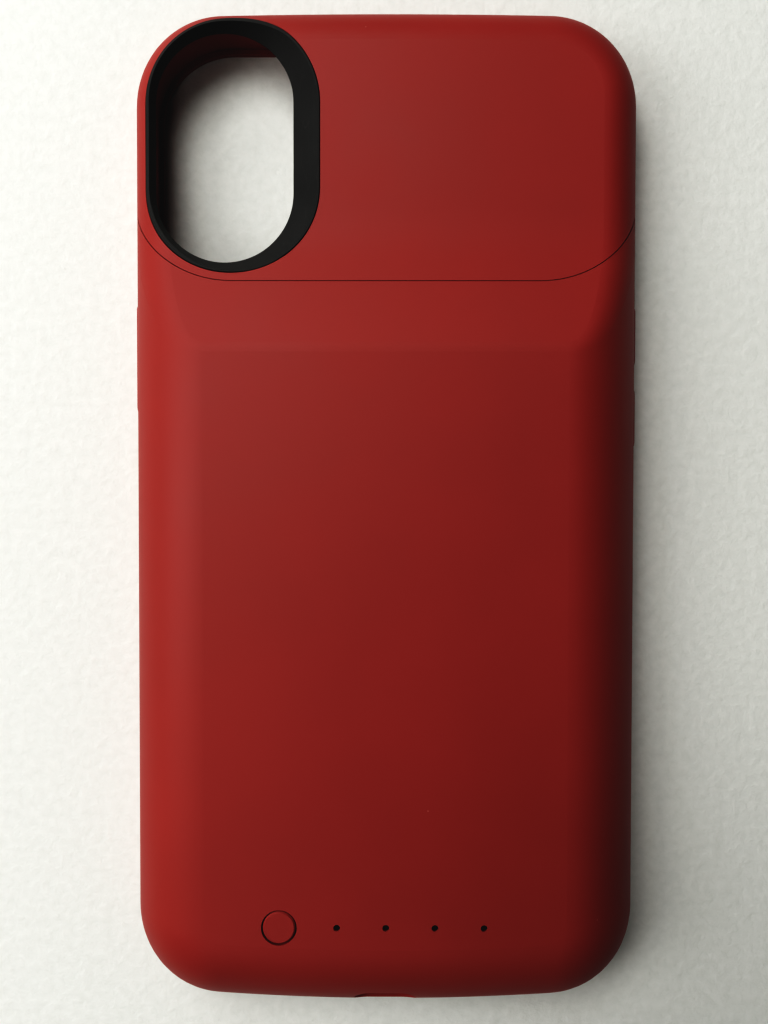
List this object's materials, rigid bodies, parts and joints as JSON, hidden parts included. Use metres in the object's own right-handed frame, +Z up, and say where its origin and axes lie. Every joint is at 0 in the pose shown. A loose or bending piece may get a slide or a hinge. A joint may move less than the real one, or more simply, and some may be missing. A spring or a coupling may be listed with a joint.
{
  "type": "battery charging case",
  "caption": "Two-piece charging case for a phone: cap that slides off, camera opening with a funnel ring, cell in a hump, status button and dots, side keys, charging inlet.",
  "frame": {"origin": "middle of the closed case on the plane of its front rim, which it lies on", "axes": "+Z up to the back of the case, +Y to the camera end, +X to the side with the volume keys"},
  "size_m": [0.076, 0.149, 0.0162],
  "materials": {
    "shell_red": "soft-touch paint over moulded plastic",
    "ring_black": "fine moulded grain",
    "tray_black": "fine moulded grain",
    "smoke": "smoked clear plastic",
    "keeper_steel": "plain sheet",
    "inlet_steel": "drawn and plated",
    "blade": "moulded",
    "foil": "laminated foil",
    "board": "solder mask",
    "copper": "enamelled wire",
    "ferrite": "sintered sheet",
    "can_tin": "tinned sheet",
    "foam": "open-cell foam",
    "tape": "adhesive film",
    "lamp": "moulded lens",
    "flex": "film"
  },
  "bodies": {
    "shell": {"back_shell": "shell_red", "inner_tray": "tray_black", "tray_adhesive": "tape", "light_guide": "smoke", "volume_key_retainer": "keeper_steel", "side_key_retainer": "keeper_steel", "input_receptacle": "inlet_steel", "receptacle_tongue": "blade", "battery_cell": "foil", "cell_protection_board": "board", "cell_foam": "foam", "charging_coil": "copper", "ferrite_sheet": "ferrite", "circuit_board": "board", "shield_can": "can_tin", "power_inductor": "ferrite", "tact_switch": "can_tin", "status_leds": "lamp", "cell_flex": "flex"},
    "cap": {"top_cap": "shell_red", "camera_ring": "ring_black"},
    "button": {"status_button": "shell_red"},
    "volume_up": {"volume_up_key": "shell_red"},
    "volume_down": {"volume_down_key": "shell_red"},
    "power": {"side_key": "shell_red"}
  },
  "joints": [
    {"name": "cap_slide", "type": "slide", "parent": "shell", "child": "cap", "axis": [0, 1, 0], "range_m": [0, 0.025]},
    {"name": "button_press", "type": "slide", "parent": "shell", "child": "button", "axis": [0, 0, -1], "range_m": [0, 0.00025], "stiffness_N_per_m": 400},
    {"name": "volume_up_press", "type": "slide", "parent": "shell", "child": "volume_up", "axis": [-1, 0, 0], "range_m": [0, 0.00035], "stiffness_N_per_m": 400},
    {"name": "volume_down_press", "type": "slide", "parent": "shell", "child": "volume_down", "axis": [-1, 0, 0], "range_m": [0, 0.00035], "stiffness_N_per_m": 400},
    {"name": "power_press", "type": "slide", "parent": "shell", "child": "power", "axis": [1, 0, 0], "range_m": [0, 0.00035], "stiffness_N_per_m": 400}
  ]
}
